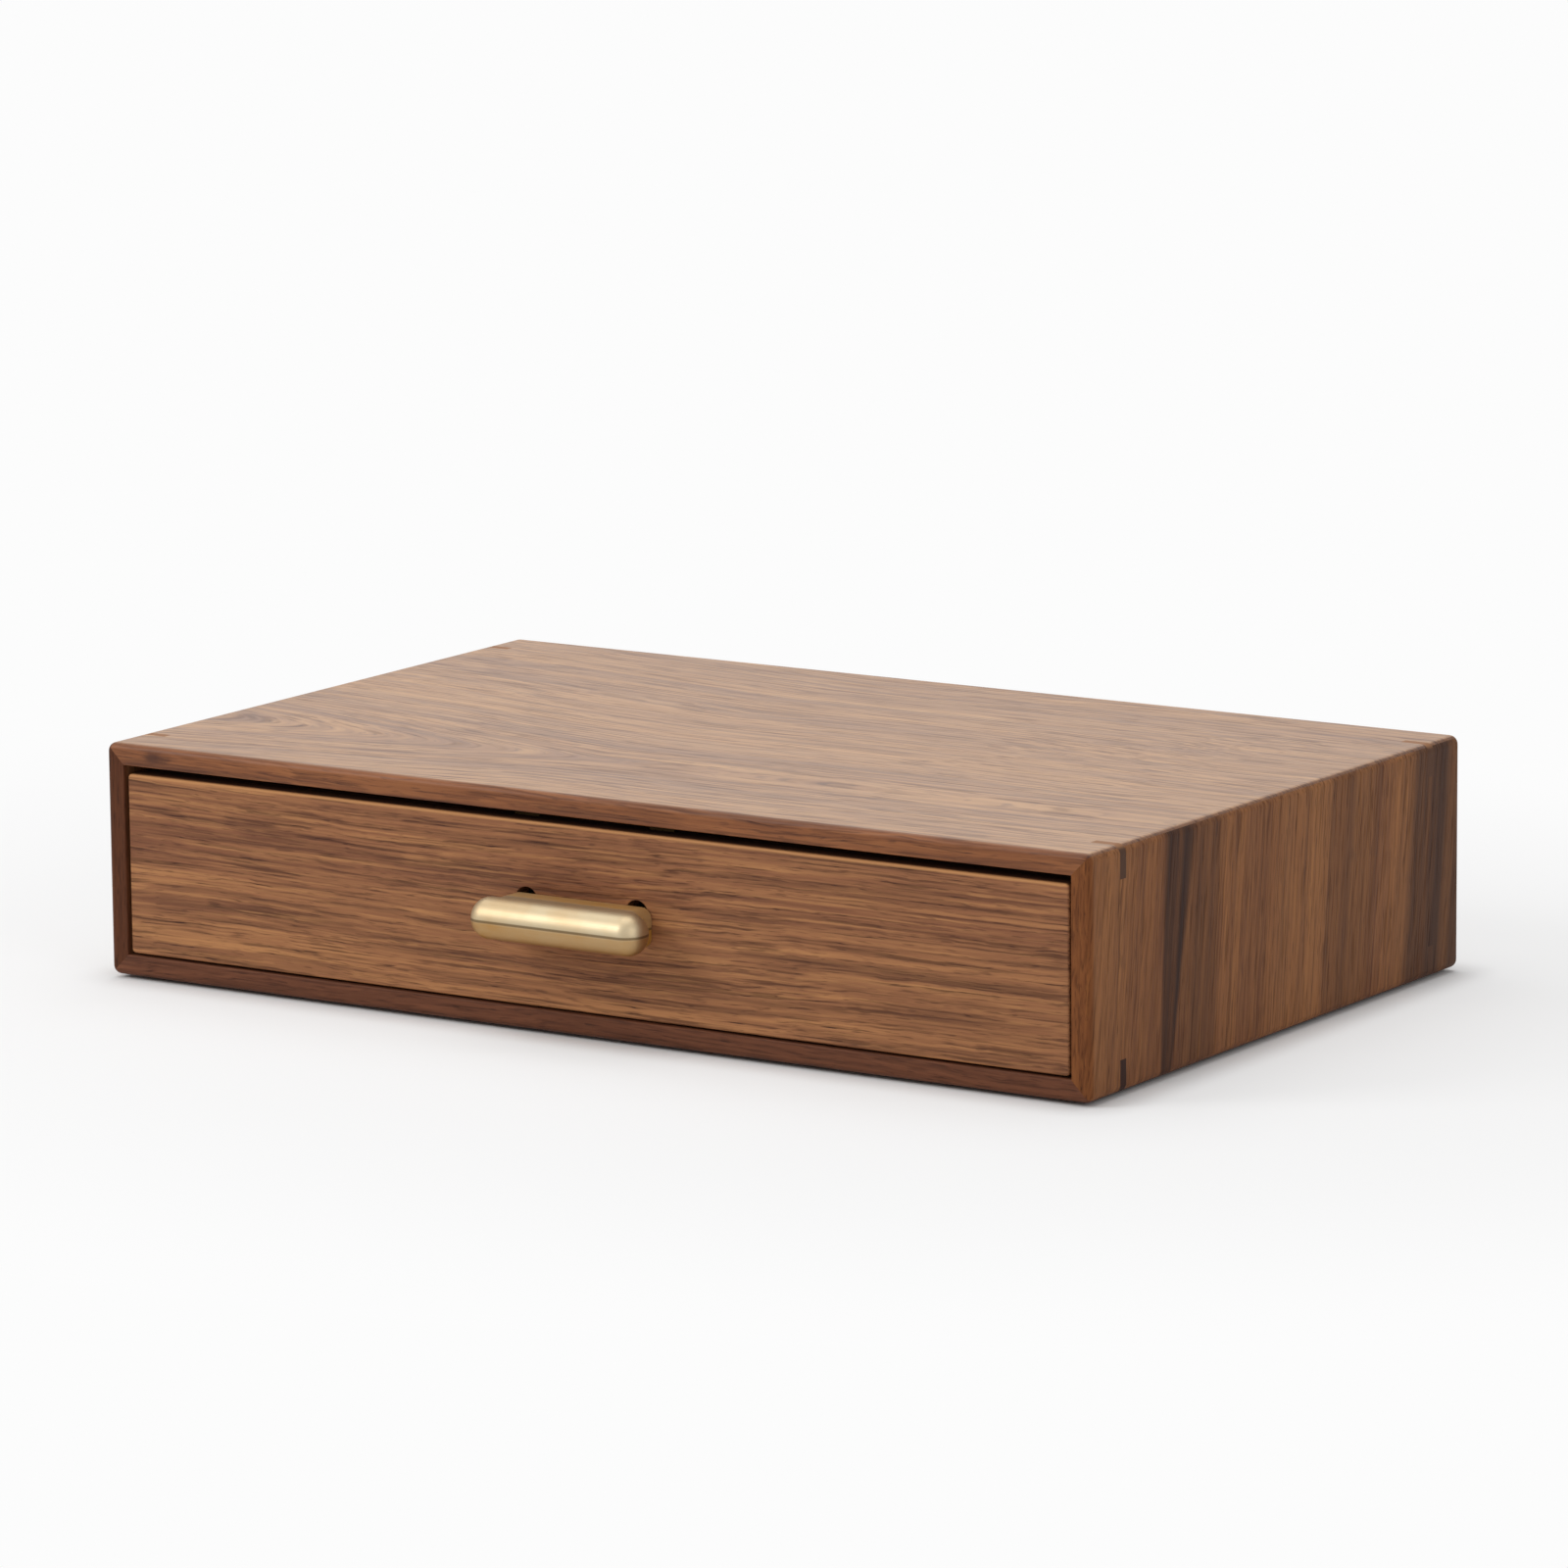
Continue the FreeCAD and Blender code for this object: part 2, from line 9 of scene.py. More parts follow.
import bpy
from mathutils import Euler, Matrix, Vector


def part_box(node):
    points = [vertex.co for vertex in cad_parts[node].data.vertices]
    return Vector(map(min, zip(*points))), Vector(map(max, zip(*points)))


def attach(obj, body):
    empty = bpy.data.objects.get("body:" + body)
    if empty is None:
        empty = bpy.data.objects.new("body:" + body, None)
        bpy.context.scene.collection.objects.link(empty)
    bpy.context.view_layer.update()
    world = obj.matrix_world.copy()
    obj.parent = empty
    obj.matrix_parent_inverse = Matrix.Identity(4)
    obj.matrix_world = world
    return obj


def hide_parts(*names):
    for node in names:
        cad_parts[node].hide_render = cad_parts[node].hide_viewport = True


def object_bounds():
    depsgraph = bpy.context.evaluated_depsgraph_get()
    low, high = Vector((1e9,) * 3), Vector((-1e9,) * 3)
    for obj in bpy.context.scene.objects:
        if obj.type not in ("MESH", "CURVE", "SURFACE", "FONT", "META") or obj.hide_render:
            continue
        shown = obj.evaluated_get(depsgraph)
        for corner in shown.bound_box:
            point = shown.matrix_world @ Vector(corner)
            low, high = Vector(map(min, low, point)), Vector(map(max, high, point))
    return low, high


LOG = logging.getLogger("drawer_box")

Colour = tuple[float, float, float]
Point = tuple[float, float, float]
Band = tuple[float, float]
Number = float | int

WHITE: Colour = (1.0, 1.0, 1.0)
# A place in metres that no piece reaches, for an edge or an end that a board doesn't have.
NOWHERE = 1.0

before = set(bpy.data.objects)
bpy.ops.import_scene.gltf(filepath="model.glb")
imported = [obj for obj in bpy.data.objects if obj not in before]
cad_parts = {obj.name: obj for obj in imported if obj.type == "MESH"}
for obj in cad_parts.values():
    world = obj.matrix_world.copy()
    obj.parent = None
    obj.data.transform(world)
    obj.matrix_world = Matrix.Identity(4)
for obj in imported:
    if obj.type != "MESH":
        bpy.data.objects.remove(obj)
CAD_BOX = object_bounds()


class Along(Enum):
    """The way a board's grain or a metal's brushing runs, as the turn that takes it to +X."""

    X = (0.0, 0.0, 0.0)
    Y = (0.0, 0.0, -math.pi / 2)
    Z = (0.0, math.pi / 2, 0.0)


class Aim(Enum):
    """The way a screw points, as the turn that takes +Z there."""

    UP = (0.0, 0.0, 0.0)
    FORWARD = (math.pi / 2, 0.0, 0.0)
    BACK = (-math.pi / 2, 0.0, 0.0)


class ScrewSize(Enum):
    """A screw's two radii, its head's and its shank's."""

    SMALL = (0.0019, 0.001)
    LARGE = (0.003, 0.0015)


def linear(red: int, green: int, blue: int) -> Colour:
    """A screen colour of 0 to 255 a channel as the linear colour that a finish takes.

    Args:
        red: the first channel.
        green: the second channel.
        blue: the third channel.

    Returns:
        The colour with the screen's curve taken off.
    """
    def channel(value: int) -> float:
        """One channel of 0 to 255 as a linear share."""
        share = value / 255
        return share / 12.92 if share <= 0.04045 else ((share + 0.055) / 1.055) ** 2.4
    return channel(red), channel(green), channel(blue)


# Colours that more than one finish has, the lighter of a pair first.
# DARK_BRASS is darkened as painted shade, so that the lock plate's tongues in the gap over the drawer read
# as dark as the gap; the strike plate shares it.
DARK_BRASS = (linear(74, 58, 36), linear(48, 36, 21))
MAPLE = (linear(228, 200, 160), linear(200, 164, 118))
NICKEL = linear(196, 194, 190)


class Wire:
    """A node's output socket that Python's operators can work on."""

    def __init__(self, nodes: "Nodes", socket: bpy.types.NodeSocket) -> None:
        """Keep the socket and the nodes that it belongs to."""
        self.nodes = nodes
        self.socket = socket

    def _math(self, operation: str, *values: "Wire | Number") -> "Wire":
        """Add one Math node."""
        return self.nodes.add("ShaderNodeMath", dict(enumerate(values)), operation=operation)

    def __add__(self, other: "Wire | Number") -> "Wire":
        """The sum."""
        return self._math("ADD", self, other)

    __radd__ = __add__

    def __sub__(self, other: "Wire | Number") -> "Wire":
        """The other taken from self."""
        return self._math("SUBTRACT", self, other)

    def __rsub__(self, other: "Wire | Number") -> "Wire":
        """Self taken from the other."""
        return self._math("SUBTRACT", other, self)

    def __mul__(self, other: "Wire | Number") -> "Wire":
        """The product."""
        return self._math("MULTIPLY", self, other)

    __rmul__ = __mul__

    def __truediv__(self, other: "Wire | Number") -> "Wire":
        """Self divided by the other."""
        return self._math("DIVIDE", self, other)

    def __pow__(self, other: "Wire | Number") -> "Wire":
        """Self to the power of the other."""
        return self._math("POWER", self, other)

    def __abs__(self) -> "Wire":
        """Self without its sign."""
        return self._math("ABSOLUTE", self)

    def at_least(self, other: "Wire | Number") -> "Wire":
        """The larger of self and other."""
        return self._math("MAXIMUM", self, other)

    def clamp(self) -> "Wire":
        """Self held between 0 and 1."""
        return self.nodes.add("ShaderNodeClamp", {"Value": self})

    def span(self, low: Number, high: Number, smooth: bool = True) -> "Wire":
        """Self mapped so that low gives 0 and high gives 1, held between them.

        Args:
            low: the value that becomes 0.
            high: the value that becomes 1.
            smooth: whether the way between is eased.

        Returns:
            The mapped value.
        """
        kind = "SMOOTHSTEP" if smooth else "LINEAR"
        return self.nodes.add("ShaderNodeMapRange", {"Value": self, "From Min": low, "From Max": high},
                              "Result", interpolation_type=kind)


class Nodes:
    """A node tree, with one way to add a node."""

    def __init__(self, tree: bpy.types.NodeTree) -> None:
        """Work on a tree that exists."""
        self.tree = tree

    def add(self, kind: str, inputs: dict[str | int, Any], output: str | int = 0, **settings: Any) -> Wire:
        """Add a node.

        Args:
            kind: the node's type.
            inputs: a value, a Wire or a list of Wires for each socket, by name or place.
            output: the socket to hand back.
            settings: the node's own properties, set first.

        Returns:
            The chosen output socket.
        """
        node = self.tree.nodes.new(kind)
        for name, value in settings.items():
            setattr(node, name, value)
        for name, value in inputs.items():
            socket = node.inputs[name]
            if isinstance(value, (Wire, list)):
                for wire in value if isinstance(value, list) else [value]:
                    self.tree.links.new(wire.socket, socket)
            elif isinstance(value, (float, int)):
                socket.default_value = value
            else:
                wide = len(socket.default_value)
                socket.default_value = (*value, 1.0)[:wide]
        return Wire(self, node.outputs[output])

    def end(self, kind: str, socket: str, wire: Wire) -> bpy.types.Node:
        """Add the tree's last node and link it.

        Args:
            kind: the node's type.
            socket: the name of its socket.
            wire: what goes in there.

        Returns:
            The node.
        """
        node = self.tree.nodes.new(kind)
        self.tree.links.new(wire.socket, node.inputs[socket])
        return node

    def parts(self, where: Wire) -> tuple[Wire, Wire, Wire]:
        """A vector's x, y and z."""
        first = self.add("ShaderNodeSeparateXYZ", {"Vector": where})
        return tuple(Wire(self, socket) for socket in first.socket.node.outputs)

    def join(self, x: Wire | Number, y: Wire | Number, z: Wire | Number) -> Wire:
        """A vector of three values."""
        return self.add("ShaderNodeCombineXYZ", {0: x, 1: y, 2: z})

    def seen(self) -> Wire:
        """1 for rays from the camera, a mirror or a glass, and 0 for the light itself."""
        rays = [self.add("ShaderNodeLightPath", {}, f"Is {kind} Ray")
                for kind in ("Camera", "Glossy", "Transmission")]
        return rays[0].at_least(rays[1]).at_least(rays[2])


@dataclass(frozen=True)
class Layer:
    """Noise drawn out along the grain: its rates per metre, how fine it is and how far along it starts."""

    along: float
    across: float
    detail: float = 2.0
    rough: float = 0.5
    start: float = 0.0


class Shader(Nodes):
    """A material's node tree."""

    def __init__(self, name: str) -> None:
        """Start an empty material.

        Args:
            name: the material's name.
        """
        self.material = bpy.data.materials.new(name)
        self.material.use_nodes = True
        super().__init__(self.material.node_tree)
        self.tree.nodes.clear()

    def place(self, turn: Sequence[float] = (0.0, 0.0, 0.0)) -> Wire:
        """Object coordinates in metres, turned."""
        start = self.add("ShaderNodeTexCoord", {}, "Object")
        return self.add("ShaderNodeMapping", {"Vector": start, "Rotation": turn})

    def noise(self, where: Wire, detail: float = 2.0, rough: float = 0.5) -> Wire:
        """Noise of about 0 to 1, with one bump to a unit."""
        return self.add("ShaderNodeTexNoise",
                        {"Vector": where, "Scale": 1.0, "Detail": detail, "Roughness": rough}, "Fac")

    def layer(self, layer: Layer, x: Wire, v: Wire, w: Wire) -> Wire:
        """One layer of noise.

        Args:
            layer: the layer's rates.
            x: the way along the grain, in metres.
            v: the first way across it.
            w: the second way across it.

        Returns:
            Noise of about 0 to 1.
        """
        where = self.join(x * layer.along + layer.start, v * layer.across, w * layer.across)
        return self.noise(where, layer.detail, layer.rough)

    def mix(self, share: Wire | Number, first: Wire | Colour, second: Wire | Colour,
            blend: str = "MIX") -> Wire:
        """Two colours mixed."""
        return self.add("ShaderNodeMix", {0: share, 6: first, 7: second}, 2,
                        data_type="RGBA", blend_type=blend)

    def surface(self, bump: Wire | None, depth: float, strength: float,
                **sockets: Any) -> bpy.types.Material:
        """Finish the tree with one Principled shader.

        Args:
            bump: a height, or nothing.
            depth: what a height of 1 stands for, in metres.
            strength: how much of the bump shows.
            sockets: the shader's sockets, with spaces as underscores.

        Returns:
            The finished material.
        """
        inputs = {name.replace("_", " "): value for name, value in sockets.items()}
        if bump is not None:
            inputs["Normal"] = self.add("ShaderNodeBump",
                                        {"Height": bump, "Distance": depth, "Strength": strength})
        self.shade = self.add("ShaderNodeBsdfPrincipled", inputs)
        self.out = self.end("ShaderNodeOutputMaterial", "Surface", self.shade)
        return self.material

    def over(self, share: Wire, level: float) -> None:
        """Lay a plain white glow over the finished surface.

        Args:
            share: how much of the glow replaces the surface.
            level: the glow's strength.
        """
        glow = self.add("ShaderNodeEmission", {"Color": WHITE, "Strength": level})
        both = self.add("ShaderNodeMixShader", {0: share, 1: self.shade, 2: glow})
        self.tree.links.new(both.socket, self.out.inputs["Surface"])


@dataclass(frozen=True)
class Stripe:
    """A dark band along a board: its place across, half width, darkness and how much it widens upwards."""

    centre: float
    half: float
    strength: float
    taper: float = 0.0


@dataclass(frozen=True)
class Cathedral:
    """Nested tongues of grain that open towards the board's left end.

    slope is how fast they open, tip and axis are where they start, length is how far they go on opening,
    and blunt, in square metres, is how round the tip is.
    """

    slope: float
    tip: float
    axis: float
    length: float = 0.2
    blunt: float = 0.00012


@dataclass(frozen=True)
class Knot:
    """A small knot in a board's front edge: its place along and up, its radius and how deep it goes."""

    along: float
    up: float
    radius: float
    depth: float = 0.002


@dataclass(frozen=True)
class Walnut:
    """Oiled walnut on one board, with the grain along one axis.

    The four colours run from the lightest fibres to the darkest lines. edge darkens the board's front up to
    edge_at as painted shade, and ends tints what lies past ends_at to either side. Above shade_above,
    behind the front, the board is darkened as painted shade for the gap over a drawer, with a painted
    highlight along the top of its front face.
    """

    name: str
    along: Along
    pale: Colour
    warm: Colour
    brown: Colour
    dark: Colour
    shift: Point = (0.0, 0.0, 0.0)
    bend: float = 0.006
    streaks: float = 0.5
    lines: float = 0.5
    fibre: float = 0.5
    fibre_length: float = 0.02
    lean: float = 0.0
    cathedral: Cathedral | None = None
    stripes: tuple[Stripe, ...] = ()
    knot: Knot | None = None
    edge: Colour = WHITE
    edge_at: float = -NOWHERE
    ends: Colour = WHITE
    ends_at: float = NOWHERE
    shade_above: float = NOWHERE
    roughness: float = 0.46
    shine: float = 0.22
    coat: float = 0.0
    relief: float = 0.5

    edge_blend: ClassVar[float] = 0.0009
    ends_blend: ClassVar[float] = 0.0008
    # shade_blend, the highlight's reach and shade set the painted shade on a drawer front's top and the
    # painted highlight along the top of its front face.
    shade_blend: ClassVar[float] = 0.0003
    highlight_reach: ClassVar[float] = 0.0011
    shade: ClassVar[Colour] = (0.20, 0.16, 0.13)
    ripple_reach: ClassVar[float] = 0.0007
    glint_shift: ClassVar[float] = 0.031
    stripe_wander: ClassVar[float] = 0.006
    pore_depth: ClassVar[float] = 0.00011
    coat_roughness: ClassVar[float] = 0.34

    def build(self) -> bpy.types.Material:
        """Make the material.

        Returns:
            A material whose grain follows the board.
        """
        s = Shader(self.name)
        own = s.parts(s.place())
        along, across, deep = s.parts(s.place(self.along.value))
        front = 1.0 - own[1].span(self.edge_at - self.edge_blend, self.edge_at + self.edge_blend)
        end = abs(own[0]).span(self.ends_at, self.ends_at + self.ends_blend)
        # Painted highlight along the top of the front face, and painted shade on the top behind it, so that
        # the gap over a drawer reads dark.
        painted_highlight = own[2].span(self.shade_above - self.highlight_reach, self.shade_above - self.shade_blend) * front
        painted_shade = own[2].span(self.shade_above - self.shade_blend, self.shade_above) * (1.0 - front)
        v, w = self._flow(s, along, across, deep, front)
        x, v, w = along + self.shift[0], v + self.shift[1], w + self.shift[2]
        tone, late, fibre, threads = self._figure(s, x, v, w)
        for stripe in self.stripes:
            share = self._stripe(s, stripe, x, across + along * self.lean, own[2])
            tone = s.mix(share * stripe.strength * (0.72 + late * 0.5), tone, self.dark)
        if self.knot is not None:
            tone = s.mix(self._knot(s, own) * 0.8, tone, self.dark)
        # edge darkens the board's front as painted shade.
        tone = s.mix(front, tone, self.edge, "MULTIPLY")
        tone = s.mix(end, tone, self.ends, "MULTIPLY")
        tone = s.mix(painted_highlight * 0.9, tone, self.pale)
        tone = s.mix(painted_shade, tone, self.shade, "MULTIPLY")
        height = threads * 0.5 - fibre * 0.8 + late * 0.2
        gloss = self.roughness + threads * 0.10 + fibre * 0.12 - late * 0.04 + painted_shade * 0.4
        return s.surface(height, self.pore_depth, self.relief, Base_Color=tone, Roughness=gloss,
                         Specular_IOR_Level=self.shine, Coat_Roughness=self.coat_roughness,
                         Coat_Weight=(1.0 - front) * (1.0 - end) * self.coat)

    def _flow(self, s: Shader, x: Wire, across: Wire, deep: Wire, front: Wire) -> tuple[Wire, Wire]:
        """The two coordinates across the grain, bent as a real board's grain is.

        Args:
            s: the shader.
            x: the way along the grain.
            across: the first way across it.
            deep: the second way across it.
            front: 1 on the board's front edge, where no cathedral shows.

        Returns:
            The bent ways across.
        """
        slow = s.layer(Layer(4.0, 9.0, start=self.shift[0] * 9.0), x, across, deep) - 0.5
        quick = s.layer(Layer(26.0, 60.0, start=self.shift[1] * 9.0), x, across, deep) - 0.5
        ripple = s.layer(Layer(110.0, 160.0, 1.0), x, across, deep) - 0.5
        bend = slow * (self.bend * 4.0) + quick * (self.bend * 0.32) + ripple * self.ripple_reach
        v = across + bend + x * self.lean
        if self.cathedral is not None:
            arch = self.cathedral
            aside = v - arch.axis
            tongue = (arch.tip - x).span(0.0, arch.length, False) * (arch.length * arch.slope)
            v = (aside * aside + arch.blunt) ** 0.5 - tongue * (1.0 - front)
        return v, deep + bend * 0.8

    def _figure(self, s: Shader, x: Wire, v: Wire, w: Wire) -> tuple[Wire, Wire, Wire, Wire]:
        """The wood's colours from broad zones down to single fibres.

        Args:
            s: the shader.
            x: the way along the grain.
            v: the first way across it.
            w: the second way across it.

        Returns:
            The colour, and how far the late wood, the dark fibres and the threads show.
        """
        broad = s.layer(Layer(1.2, 26.0), x, v, w).span(0.32, 0.68)
        late = s.layer(Layer(2.6, 150.0, 3.0, 0.55), x, v, w).span(0.32, 0.70)
        lines = s.layer(Layer(9.0, 620.0, 2.0, 0.55), x, v, w)
        threads = s.layer(Layer(40.0, 1500.0, 2.0, 0.6), x, v, w)
        fibre = s.layer(Layer(1.0 / self.fibre_length, 1200.0, 1.0, 0.6), x, v, w).span(0.48, 0.72)
        glints = s.layer(Layer(0.8 / self.fibre_length, 1000.0, 1.0, 0.6), x, v + self.glint_shift, w)
        pores = s.layer(Layer(150.0, 2300.0, 1.0), x, v, w).span(0.58, 0.72)
        # Where each tone shows, how strongly, and what it is.
        tones = (
            (late, self.streaks * 0.60, self.dark),
            (1.0 - late, self.streaks * 0.50, self.pale),
            (lines.span(0.46, 0.72), self.lines * 0.55, self.dark),
            ((1.0 - lines).span(0.48, 0.74), self.lines * 0.55, self.pale),
            (threads.span(0.35, 0.75), 0.20, self.pale),
            (glints.span(0.54, 0.74), self.fibre * 0.7, self.pale),
            ((fibre * self.fibre + pores * 0.4).clamp(), 1.0, self.dark),
        )
        tone = s.mix(broad, self.brown, self.warm)
        for place, strength, colour in tones:
            tone = s.mix(place * strength, tone, colour)
        return tone, late, fibre, threads

    def _stripe(self, s: Shader, stripe: Stripe, x: Wire, across: Wire, up: Wire) -> Wire:
        """How far one dark band shows.

        Args:
            s: the shader.
            stripe: the band.
            x: the way along the grain.
            across: the way across it.
            up: the height, by which a band tapers.

        Returns:
            1 in the band and 0 beside it.
        """
        wander = s.noise(s.join(x * 7.0, stripe.centre * 50.0, 0.0)) - 0.5
        off = across - stripe.centre + wander * self.stripe_wander
        half = stripe.half * (1.0 + up * (stripe.taper * 15.0) - stripe.taper * 0.5)
        return 1.0 - (off * off / (half * half)).span(0.3, 1.0)

    def _knot(self, s: Shader, own: tuple[Wire, Wire, Wire]) -> Wire:
        """How far the knot shows, ragged and drawn out along the board.

        Args:
            s: the shader.
            own: the piece's own coordinates.

        Returns:
            1 in the knot and 0 beside it.
        """
        knot = self.knot
        ragged = (s.noise(s.join(own[0] * 300.0, own[1] * 300.0, own[2] * 500.0)) - 0.5) * 0.9
        along = (own[0] - knot.along) * (0.4 / knot.radius)
        up = (own[2] - knot.up) * (1.0 / knot.radius)
        reach = (along * along + up * up) ** 0.5 + ragged
        near = 1.0 - own[1].span(self.edge_at, self.edge_at + knot.depth)
        return (1.0 - reach.span(0.1, 1.1)) * near


@dataclass(frozen=True)
class Key:
    """Dark keys across the mitres that pass for the case's own wood at the rear and on top."""

    name: str
    dark: Colour
    front: Colour
    rear: Colour
    top: Colour
    top_at: float

    top_band: ClassVar[Band] = (-0.0015, -0.0002)
    rear_band: ClassVar[Band] = (-0.02, 0.02)
    fade_band: ClassVar[Band] = (0.02, 0.05)
    grain_depth: ClassVar[float] = 0.00006

    def build(self) -> bpy.types.Material:
        """Make the material.

        Returns:
            A dark wood that fades towards the boards around it.
        """
        s = Shader(self.name)
        x, y, z = s.parts(s.place())
        threads = s.noise(s.join(x * 260.0, y * 1500.0, z * 260.0), 2.0, 0.6)
        upper = (z - self.top_at).span(*self.top_band)
        rear = y.span(*self.rear_band)
        board = s.mix(upper, s.mix(rear, self.front, self.rear), self.top)
        fade = (rear * 0.90 + z.span(*self.fade_band) * 0.5 + upper * 0.5).clamp()
        tone = s.mix(threads * 0.3, s.mix(fade, self.dark, board), self.dark)
        return s.surface(threads, self.grain_depth, 0.4, Base_Color=tone, Roughness=0.46 + threads * 0.1,
                         Specular_IOR_Level=0.1)


@dataclass(frozen=True)
class PaleWood:
    """Waxed maple or birch, nearly plain."""

    name: str
    along: Along
    light: Colour
    deep: Colour

    ring_drift: ClassVar[float] = 0.02
    grain_depth: ClassVar[float] = 0.00005

    def build(self) -> bpy.types.Material:
        """Make the material.

        Returns:
            A pale wood with fine grain and small flecks.
        """
        s = Shader(self.name)
        x, y, z = s.parts(s.place(self.along.value))
        drift = s.layer(Layer(4.0, 18.0), x, y, z) * self.ring_drift
        rings = s.noise(s.join(x * 2.0, (y + z + drift) * 120.0, 1.0), 3.0, 0.55)
        threads = s.layer(Layer(40.0, 800.0, 2.0, 0.6), x, y, z)
        fleck = s.layer(Layer(160.0, 500.0, 1.0), x, y, z).span(0.66, 0.74)
        tone = s.mix(rings.span(0.35, 0.7) * 0.7 + threads * 0.2, self.light, self.deep)
        tone = s.mix(fleck * 0.25, tone, self.deep)
        return s.surface(threads, self.grain_depth, 0.4, Base_Color=tone, Roughness=0.46 + threads * 0.12,
                         Specular_IOR_Level=0.4)


@dataclass(frozen=True)
class Brass:
    """Satin brass, brushed along one axis."""

    name: str
    along: Along
    tint: Colour
    deep: Colour
    roughness: float = 0.24

    brushing: ClassVar[Layer] = Layer(60.0, 4200.0, 2.0, 0.6)
    tarnish: ClassVar[Layer] = Layer(70.0, 90.0, 3.0, 0.6)
    brush_depth: ClassVar[float] = 0.000012
    brush_strength: ClassVar[float] = 0.35

    def build(self) -> bpy.types.Material:
        """Make the material.

        Returns:
            Brass with fine brush lines and a little tarnish.
        """
        s = Shader(self.name)
        x, y, z = s.parts(s.place(self.along.value))
        lines = s.layer(self.brushing, x, y, z)
        cloud = s.layer(self.tarnish, x, y, z)
        worn = cloud.span(0.35, 0.75) * 0.25 + lines * 0.12
        gloss = self.roughness + lines * 0.10 + cloud * 0.05
        return s.surface(lines, self.brush_depth, self.brush_strength, **self._sockets(s, worn, gloss))

    def _sockets(self, s: Shader, worn: Wire, gloss: Wire) -> dict[str, Any]:
        """What goes into the surface.

        Args:
            s: the shader.
            worn: how far the metal is worn to its deeper colour.
            gloss: its roughness.

        Returns:
            The surface's sockets by name.
        """
        tone = s.mix(worn.clamp(), self.tint, self.deep)
        return {"Base_Color": tone, "Roughness": gloss, "Metallic": 1.0}


@dataclass(frozen=True)
class BarBrass(Brass):
    """The pull's brass: painted reflection deepens it below its axis, a painted horizon line darkens the
    axis, and the duller neck behind is in painted shade.
    """

    axis: float = 0.0
    neck: float = 0.0
    # The colour of the dark painted horizon line at the bar's axis, then where the painted reflection and
    # the neck's painted shade begin.
    painted_horizon: Colour = linear(86, 62, 28)

    below_band: ClassVar[Band] = (-0.0008, 0.0002)
    under_band: ClassVar[Band] = (-0.0058, -0.0020)
    neck_blend: ClassVar[float] = 0.002
    horizon_rate: ClassVar[float] = 2100.0

    def _sockets(self, s: Shader, worn: Wire, gloss: Wire) -> dict[str, Any]:
        """What goes into the surface, with the painted reflection on the bar's halves, its painted horizon
        line and the painted shade on its neck.

        Args:
            s: the shader.
            worn: how far the metal is worn to its deeper colour.
            gloss: its roughness.

        Returns:
            The surface's sockets by name.
        """
        # Painted reflection: the lower half and underside take the deeper colour, with a dark painted
        # horizon line at the axis; the neck behind the bar is darkened as painted shade.
        _, y, z = s.parts(s.place())
        rise = z - self.axis
        painted_lower_half = 1.0 - rise.span(*self.below_band)
        painted_underside = 1.0 - rise.span(*self.under_band)
        neck = y.span(self.neck, self.neck + self.neck_blend)
        off = rise * self.horizon_rate
        tone = s.mix((worn + painted_lower_half * 0.5 + painted_underside * 0.3 + neck * 0.6).clamp(), self.tint, self.deep)
        tone = s.mix((1.0 - (off * off).span(0.1, 1.0)) * 0.7, tone, self.painted_horizon)
        return {"Base_Color": tone, "Roughness": gloss + neck * 0.2, "Metallic": 1.0 - neck * 0.35}


@dataclass(frozen=True)
class Plain:
    """A plain small finish such as rubber, nylon or nickel, with a fine mottle."""

    name: str
    tint: Colour
    roughness: float
    metallic: float = 0.0
    mottle: float = 0.2

    spots: ClassVar[Layer] = Layer(900.0, 900.0, 3.0, 0.6)
    spot_depth: ClassVar[float] = 0.00003

    def build(self) -> bpy.types.Material:
        """Make the material.

        Returns:
            The finish with a little grain.
        """
        s = Shader(self.name)
        spot = s.layer(self.spots, *s.parts(s.place()))
        darker = tuple(channel * (1.0 - self.mottle) for channel in self.tint)
        return s.surface(spot, self.spot_depth, 0.4, Base_Color=s.mix(spot, darker, self.tint),
                         Roughness=self.roughness + spot * 0.08, Metallic=self.metallic)


def dress(names: Iterable[str], finish: Walnut | Key | PaleWood | Brass | Plain) -> None:
    """Give CAD nodes one finish.

    Args:
        names: the nodes.
        finish: what they wear.
    """
    material = finish.build()
    for name in names:
        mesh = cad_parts[name].data
        mesh.materials.clear()
        mesh.materials.append(material)
        LOG.info("%s wears %s", name, material.name)


